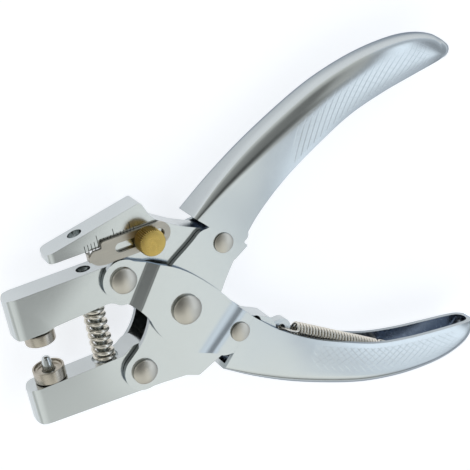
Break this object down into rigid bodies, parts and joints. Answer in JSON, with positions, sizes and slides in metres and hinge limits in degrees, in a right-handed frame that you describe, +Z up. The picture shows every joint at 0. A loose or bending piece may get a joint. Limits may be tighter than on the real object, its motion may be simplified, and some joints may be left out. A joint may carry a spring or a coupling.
{
  "type": "eyelet pliers",
  "caption": "Parallel-jaw eyelet pliers: plated channel handles, setting dies, a sprung hole punch and a slotted depth gauge with a brass thumb screw.",
  "frame": {"origin": "centre of the flat face of the main rivet's lower head", "axes": "+X from the jaws to the handle tips, +Y across the jaws towards the jaw with the depth gauge, +Z up through the thickness; the tool lies flat with the gauge on top"},
  "size_m": [0.1535, 0.114, 0.0198],
  "materials": {
    "plated_steel": "satin plated",
    "rivet_steel": "warm nickel, polished",
    "die_steel": "turned and polished",
    "bright_steel": "bright",
    "grey_steel": "brushed",
    "brass": "turned, knurled rim"
  },
  "bodies": {
    "lower_handle": {"lower_handle": "plated_steel", "main_rivet": "rivet_steel", "main_spacer": "grey_steel", "upper_jaw_rivet": "rivet_steel", "lower_guide_pin": "rivet_steel", "spring_anchor_pin": "grey_steel"},
    "upper_handle": {"upper_handle": "plated_steel", "lower_jaw_rivet": "rivet_steel", "upper_guide_pin": "rivet_steel"},
    "upper_jaw": {"upper_jaw": "plated_steel", "upper_die": "die_steel"},
    "lower_jaw": {"lower_jaw": "plated_steel", "lower_die_cup": "die_steel", "pilot_pin": "bright_steel", "punch_rod": "bright_steel", "punch_spring": "bright_steel"},
    "depth_stop": {"depth_stop": "grey_steel"},
    "thumb_screw": {"thumb_screw": "brass"},
    "return_spring": {"return_spring": "bright_steel"},
    "return_spring_hook": {"return_spring_hook": "bright_steel"}
  },
  "joints": [
    {"name": "handle_pivot", "type": "hinge", "parent": "lower_handle", "child": "upper_handle", "pos_m": [0, 0, 0.00935], "axis": [0, 0, -1], "range_deg": [0, 26.7], "stiffness_Nm_per_rad": 0.8, "springref_deg": -14.9, "deforming": ["punch_spring"]},
    {"name": "upper_jaw_pivot", "type": "hinge", "parent": "lower_handle", "child": "upper_jaw", "pos_m": [-0.016, 0.015, 0.00935], "axis": [0, 0, -1], "range_deg": [0, 13.35]},
    {"name": "lower_jaw_pivot", "type": "hinge", "parent": "upper_handle", "child": "lower_jaw", "pos_m": [-0.016, -0.015, 0.00935], "axis": [0, 0, -1], "range_deg": [-13.35, 0]},
    {"name": "depth_slide", "type": "slide", "parent": "upper_jaw", "child": "depth_stop", "axis": [1, 0, 0], "range_m": [-0.003, 0.0055]},
    {"name": "thumb_screw_turn", "type": "hinge", "parent": "upper_jaw", "child": "thumb_screw", "pos_m": [-0.0066, 0.0246, 0.00935], "axis": [0, 0, 1], "range_deg": [0, 360]},
    {"name": "spring_swing", "type": "hinge", "parent": "lower_handle", "child": "return_spring", "pos_m": [0.06904, -0.04648, 0.00935], "axis": [0, 0, 1], "range_deg": [0, 6.9]},
    {"name": "spring_stretch", "type": "slide", "parent": "return_spring", "child": "return_spring_hook", "axis": [-0.8384, 0.5451, 0], "range_m": [0, 0.00596], "deforming": ["return_spring"]}
  ],
  "couplings": [
    {"joint": "upper_jaw_pivot", "follows": "handle_pivot", "ratio": 0.5},
    {"joint": "lower_jaw_pivot", "follows": "handle_pivot", "ratio": -0.5},
    {"joint": "spring_swing", "follows": "handle_pivot", "ratio": 0.25798},
    {"joint": "spring_stretch", "follows": "handle_pivot", "m_per_rad": 0.012772}
  ]
}
